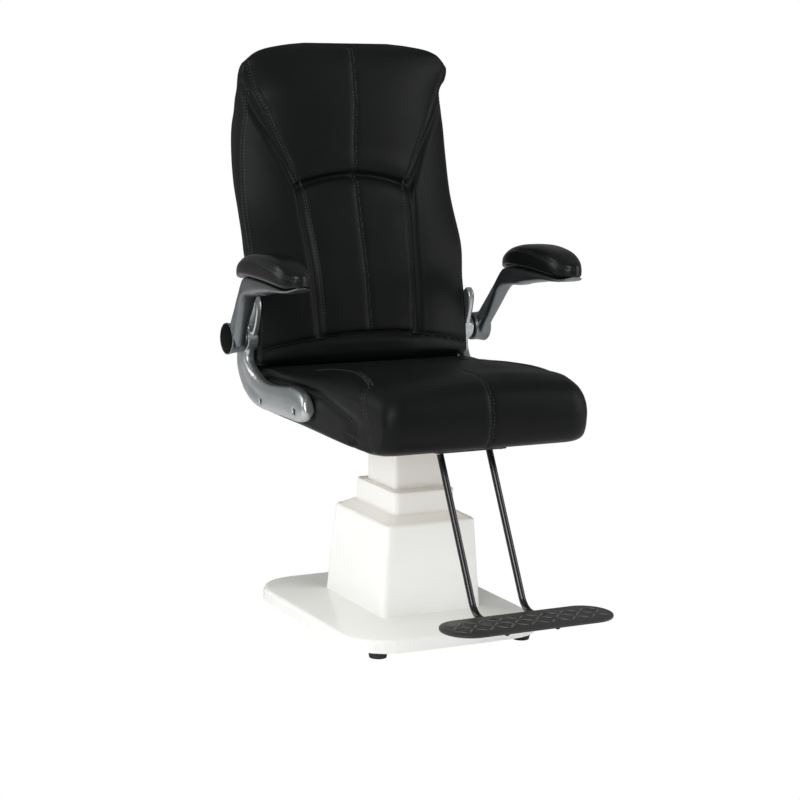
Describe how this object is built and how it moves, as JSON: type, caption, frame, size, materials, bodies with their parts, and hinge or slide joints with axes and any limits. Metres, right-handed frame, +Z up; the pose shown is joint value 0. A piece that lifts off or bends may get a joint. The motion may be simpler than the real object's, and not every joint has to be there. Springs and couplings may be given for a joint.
{
  "type": "ophthalmic examination chair",
  "caption": "Powered examination chair: wide base, telescoping lift column, padded seat and high back on cast side brackets, flip-up armrests, fixed footrest.",
  "frame": {"origin": "on the floor, under the middle of the whole chair's bounding box", "axes": "+Z up, the sitter faces -Y, +X is the sitter's left"},
  "size_m": [0.7624, 1.0359, 1.297],
  "materials": {
    "base_steel": "satin grey paint",
    "white_cover": "smooth white moulding",
    "column_white": "gloss white paint",
    "zinc": "zinc plated",
    "black_rubber": "matt",
    "black_plastic": "fine grain",
    "nylon": "plain nylon",
    "machine_grey": "hammered grey paint",
    "chrome_rod": "polished",
    "plywood": "bare plywood",
    "upholstery": "black vinyl leather with a soft grain",
    "cast_silver": "silver painted casting, satin",
    "black_tube": "gloss black paint",
    "dark_plate": "dark grey textured paint"
  },
  "bodies": {
    "base": {"base_plate": "base_steel", "base_shell": "white_cover", "shell_screws": "zinc", "rubber_feet": "black_rubber", "foot_screws": "zinc", "power_gland": "black_plastic", "column_housing": "white_cover", "housing_wiper": "white_cover", "mast": "machine_grey", "mast_bolts": "zinc", "mast_glides": "nylon", "actuator_gearbox": "machine_grey", "actuator_motor": "black_plastic", "actuator_tube": "machine_grey", "control_box": "black_plastic"},
    "lift": {"column": "column_white", "column_glides": "nylon", "actuator_rod": "chrome_rod", "rod_pin": "zinc", "seat_plate": "base_steel", "seat_plate_bolts": "zinc", "seat_pan": "plywood", "seat_side_plates": "zinc", "seat_cushion": "upholstery", "back_frame": "plywood", "back_cushion": "upholstery", "back_cover": "upholstery", "right_bracket": "cast_silver", "left_bracket": "cast_silver", "bracket_bolts": "zinc", "pivot_pins": "zinc", "pivot_washers": "nylon", "footrest_frame": "black_tube", "footrest_bolts": "zinc", "tube_plugs": "black_plastic", "footplate": "dark_plate", "footplate_screws": "zinc"},
    "right_arm": {"right_lever": "cast_silver", "right_bush": "nylon", "right_cap": "black_plastic", "right_pad": "upholstery", "right_pad_screws": "zinc"},
    "left_arm": {"left_lever": "cast_silver", "left_bush": "nylon", "left_cap": "black_plastic", "left_pad": "upholstery", "left_pad_screws": "zinc"}
  },
  "joints": [
    {"name": "seat_lift", "type": "slide", "parent": "base", "child": "lift", "axis": [0, 0, 1], "range_m": [-0.09, 0.11]},
    {"name": "right_arm_flip", "type": "hinge", "parent": "lift", "child": "right_arm", "pos_m": [-0.318, 0.33402, 0.634], "axis": [-1, 0, 0], "range_deg": [0, 90]},
    {"name": "left_arm_flip", "type": "hinge", "parent": "lift", "child": "left_arm", "pos_m": [0.318, 0.33402, 0.634], "axis": [-1, 0, 0], "range_deg": [0, 90]}
  ]
}
